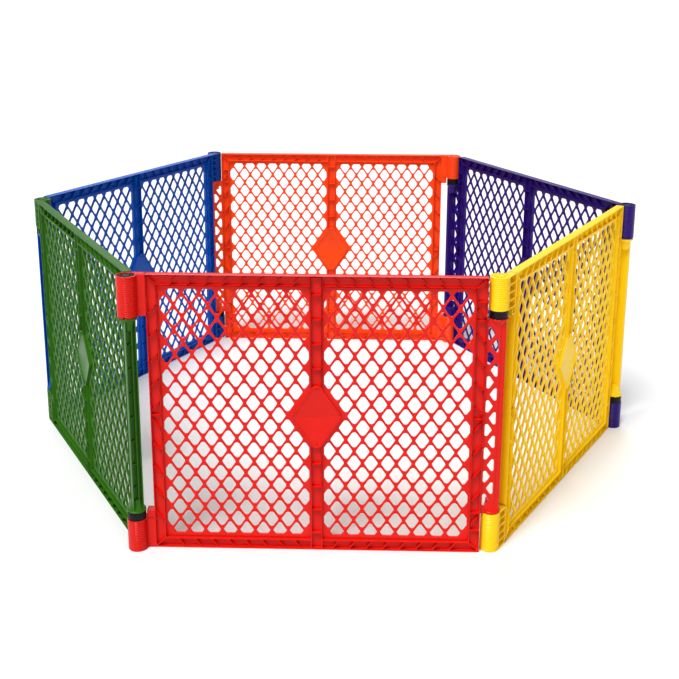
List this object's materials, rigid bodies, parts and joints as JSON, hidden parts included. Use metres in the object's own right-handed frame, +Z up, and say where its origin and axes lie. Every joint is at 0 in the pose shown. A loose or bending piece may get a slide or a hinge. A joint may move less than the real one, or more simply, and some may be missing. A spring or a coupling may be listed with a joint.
{
  "type": "playpen",
  "caption": "Free-standing folding play pen: hinged lattice panels in bright plastic that form a ring, each joined to the next by a toothed pin hinge.",
  "frame": {"origin": "middle of the pen's bounding box, on the floor", "axes": "+Z up, +Y from the front panel to the back panel, +X to the right along the longest extent"},
  "size_m": [1.671, 1.4772, 0.66],
  "materials": {
    "red_plastic": "semi-gloss moulded",
    "yellow_plastic": "semi-gloss moulded",
    "purple_plastic": "semi-gloss moulded",
    "orange_plastic": "semi-gloss moulded",
    "blue_plastic": "semi-gloss moulded",
    "green_plastic": "semi-gloss moulded",
    "black_bush": "satin moulded"
  },
  "bodies": {
    "red_side": {"red_panel": "red_plastic", "red_long_knuckle": "red_plastic", "red_short_knuckle": "red_plastic", "red_hinge_post": "red_plastic", "red_toothed_collar": "black_bush", "red_toothed_plug": "black_bush"},
    "yellow_side": {"yellow_panel": "yellow_plastic", "yellow_long_knuckle": "yellow_plastic", "yellow_short_knuckle": "yellow_plastic", "yellow_hinge_post": "yellow_plastic", "yellow_toothed_collar": "black_bush", "yellow_toothed_plug": "black_bush"},
    "purple_side": {"purple_panel": "purple_plastic", "purple_long_knuckle": "purple_plastic", "purple_short_knuckle": "purple_plastic", "purple_hinge_post": "purple_plastic", "purple_toothed_collar": "black_bush", "purple_toothed_plug": "black_bush"},
    "orange_side": {"orange_panel": "orange_plastic", "orange_long_knuckle": "orange_plastic", "orange_short_knuckle": "orange_plastic", "orange_hinge_post": "orange_plastic", "orange_toothed_collar": "black_bush", "orange_toothed_plug": "black_bush"},
    "blue_side": {"blue_panel": "blue_plastic", "blue_long_knuckle": "blue_plastic", "blue_short_knuckle": "blue_plastic", "blue_hinge_post": "blue_plastic", "blue_toothed_collar": "black_bush", "blue_toothed_plug": "black_bush"},
    "green_side": {"green_panel": "green_plastic", "green_long_knuckle": "green_plastic", "green_short_knuckle": "green_plastic", "green_hinge_post": "green_plastic", "green_toothed_collar": "black_bush", "green_toothed_plug": "black_bush"}
  },
  "joints": [
    {"name": "front_right_fold", "type": "hinge", "parent": "red_side", "child": "yellow_side", "pos_m": [0.38571, -0.69208, 0.33], "axis": [0, 0, 1], "range_deg": [0, 120]},
    {"name": "right_fold", "type": "hinge", "parent": "yellow_side", "child": "purple_side", "pos_m": [0.813, 0, 0.33], "axis": [0, 0, 1], "range_deg": [-240, 0]},
    {"name": "back_right_fold", "type": "hinge", "parent": "purple_side", "child": "orange_side", "pos_m": [0.38571, 0.69208, 0.33], "axis": [0, 0, 1], "range_deg": [0, 120]},
    {"name": "front_left_fold", "type": "hinge", "parent": "red_side", "child": "green_side", "pos_m": [-0.42729, -0.71608, 0.33], "axis": [0, 0, 1], "range_deg": [0, 240]},
    {"name": "left_fold", "type": "hinge", "parent": "green_side", "child": "blue_side", "pos_m": [-0.813, 0, 0.33], "axis": [0, 0, 1], "range_deg": [-120, 0]}
  ],
  "couplings": [
    {"joint": "front_left_fold", "follows": "left_fold", "ratio": -2},
    {"joint": "front_right_fold", "follows": "left_fold", "ratio": -1},
    {"joint": "right_fold", "follows": "left_fold", "ratio": 2},
    {"joint": "back_right_fold", "follows": "left_fold", "ratio": -1}
  ]
}
